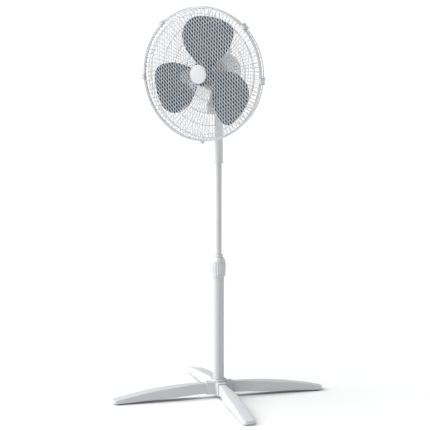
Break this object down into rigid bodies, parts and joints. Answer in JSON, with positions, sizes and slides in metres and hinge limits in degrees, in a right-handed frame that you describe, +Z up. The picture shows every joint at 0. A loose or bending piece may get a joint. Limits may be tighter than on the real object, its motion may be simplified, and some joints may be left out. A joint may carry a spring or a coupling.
{
  "type": "pedestal fan",
  "caption": "Pedestal fan with a cross base, a telescopic pole with a twist clamp, push-button speed control, and a tilting, oscillating head with a wire guard.",
  "frame": {"origin": "on the floor, under the pole's axis, which is the centre of the object's base", "axes": "+Z up along the pole, the fan blows towards -Y"},
  "size_m": [0.5092, 0.5092, 1.2566],
  "materials": {
    "white_plastic": "satin white moulding",
    "button_plastic": "satin pale grey moulding",
    "painted_tube": "white powder coat",
    "guard_wire": "white dipped wire",
    "blade_plastic": "glossy slate blue-grey moulding",
    "rubber": "matte",
    "black_plastic": "matte",
    "steel": "zinc plated",
    "copper": "enamelled copper wire",
    "gear_nylon": "natural nylon"
  },
  "bodies": {
    "base": {"base_hub": "white_plastic", "leg_front_right": "white_plastic", "leg_back_right": "white_plastic", "leg_back_left": "white_plastic", "leg_front_left": "white_plastic", "foot_pads": "rubber", "leg_screws": "steel", "pole_bolt": "steel", "pole_insert": "steel", "lower_tube": "painted_tube", "clamp_body": "white_plastic", "clamp_collet": "white_plastic"},
    "clamp": {"clamp_nut": "white_plastic"},
    "neck": {"upper_tube": "painted_tube", "tube_guide": "rubber", "neck_sleeve": "white_plastic", "neck_screw": "steel", "control_box_front": "white_plastic", "control_box_rear": "white_plastic", "speed_switch": "black_plastic", "cord_gland": "white_plastic", "tilt_pin": "steel", "capacitor": "black_plastic"},
    "button_off": {"button_0": "button_plastic"},
    "button_low": {"button_1": "button_plastic"},
    "button_medium": {"button_2": "button_plastic"},
    "button_high": {"button_3": "button_plastic"},
    "tilt_head": {"tilt_bracket": "white_plastic"},
    "link": {"oscillation_link": "steel"},
    "head": {"motor_front_cover": "white_plastic", "motor_rear_cover": "white_plastic", "cover_screws": "steel", "motor_front_frame": "steel", "motor_rear_frame": "steel", "stator": "steel", "windings": "copper", "front_bearing": "steel", "rear_bearing": "steel", "gearbox_case": "steel", "rear_guard": "guard_wire", "guard_nut": "white_plastic", "front_grille": "guard_wire", "front_guard_frame": "guard_wire", "guard_badge": "white_plastic", "trim_ring": "white_plastic", "guard_screw": "steel"},
    "rotor": {"motor_shaft": "steel", "rotor_core": "steel", "worm": "steel", "fan_blade": "blade_plastic", "drive_pin": "steel", "spinner": "blade_plastic"},
    "wheel": {"worm_wheel": "gear_nylon"},
    "crank": {"crank_gear": "gear_nylon"},
    "knob": {"oscillation_knob": "white_plastic"},
    "clip_upper_right": {"guard_clip_1": "white_plastic"},
    "clip_right": {"guard_clip_2": "white_plastic"},
    "clip_upper_left": {"guard_clip_3": "white_plastic"},
    "clip_left": {"guard_clip_4": "white_plastic"}
  },
  "joints": [
    {"name": "height_slide", "type": "slide", "parent": "base", "child": "neck", "axis": [0, 0, 1], "range_m": [-0.27, 0]},
    {"name": "clamp_twist", "type": "hinge", "parent": "base", "child": "clamp", "pos_m": [0, 0, 0.42], "axis": [0, 0, 1], "range_deg": [0, 180]},
    {"name": "tilt", "type": "hinge", "parent": "neck", "child": "tilt_head", "pos_m": [0, 0.005, 0.972], "axis": [-1, 0, 0], "range_deg": [-10, 20]},
    {"name": "oscillation", "type": "hinge", "parent": "tilt_head", "child": "head", "pos_m": [0, 0.005, 0.99], "axis": [0, 0, 1], "range_deg": [-40, 40]},
    {"name": "link_swing", "type": "hinge", "parent": "tilt_head", "child": "link", "pos_m": [0.01, 0.005, 1.005], "axis": [0, 0, 1], "range_deg": [-12, 12]},
    {"name": "fan_spin", "type": "hinge", "parent": "head", "child": "rotor", "pos_m": [0, 0, 1.048], "axis": [0, 1, 0], "continuous": true},
    {"name": "worm_wheel_spin", "type": "hinge", "parent": "head", "child": "wheel", "pos_m": [0.015, 0.045, 1.048], "axis": [0, 0, 1], "continuous": true},
    {"name": "crank_spin", "type": "hinge", "parent": "head", "child": "crank", "pos_m": [-0.0053, 0.045, 1.017], "axis": [0, 0, 1], "continuous": true},
    {"name": "oscillation_knob_slide", "type": "slide", "parent": "head", "child": "knob", "axis": [0, 0, 1], "range_m": [0, 0.006]},
    {"name": "button_off_press", "type": "slide", "parent": "neck", "child": "button_off", "axis": [0, 1, 0], "range_m": [0, 0.004], "stiffness_N_per_m": 300},
    {"name": "button_low_press", "type": "slide", "parent": "neck", "child": "button_low", "axis": [0, 1, 0], "range_m": [0, 0.004], "stiffness_N_per_m": 300},
    {"name": "button_medium_press", "type": "slide", "parent": "neck", "child": "button_medium", "axis": [0, 1, 0], "range_m": [0, 0.004], "stiffness_N_per_m": 300},
    {"name": "button_high_press", "type": "slide", "parent": "neck", "child": "button_high", "axis": [0, 1, 0], "range_m": [0, 0.004], "stiffness_N_per_m": 300},
    {"name": "clip_upper_right_open", "type": "hinge", "parent": "head", "child": "clip_upper_right", "pos_m": [0.15005, -0.096, 1.19805], "axis": [-0.7071, 0, 0.7071], "range_deg": [0, 75]},
    {"name": "clip_right_open", "type": "hinge", "parent": "head", "child": "clip_right", "pos_m": [0.21168, -0.096, 1.0332], "axis": [0.0698, 0, 0.9976], "range_deg": [0, 75]},
    {"name": "clip_upper_left_open", "type": "hinge", "parent": "head", "child": "clip_upper_left", "pos_m": [-0.14472, -0.096, 1.20319], "axis": [-0.7314, 0, -0.682], "range_deg": [0, 75]},
    {"name": "clip_left_open", "type": "hinge", "parent": "head", "child": "clip_left", "pos_m": [-0.21168, -0.096, 1.0332], "axis": [0.0698, 0, -0.9976], "range_deg": [0, 75]}
  ],
  "couplings": [
    {"joint": "worm_wheel_spin", "follows": "fan_spin", "ratio": -0.041667},
    {"joint": "crank_spin", "follows": "fan_spin", "ratio": 0.017857}
  ]
}
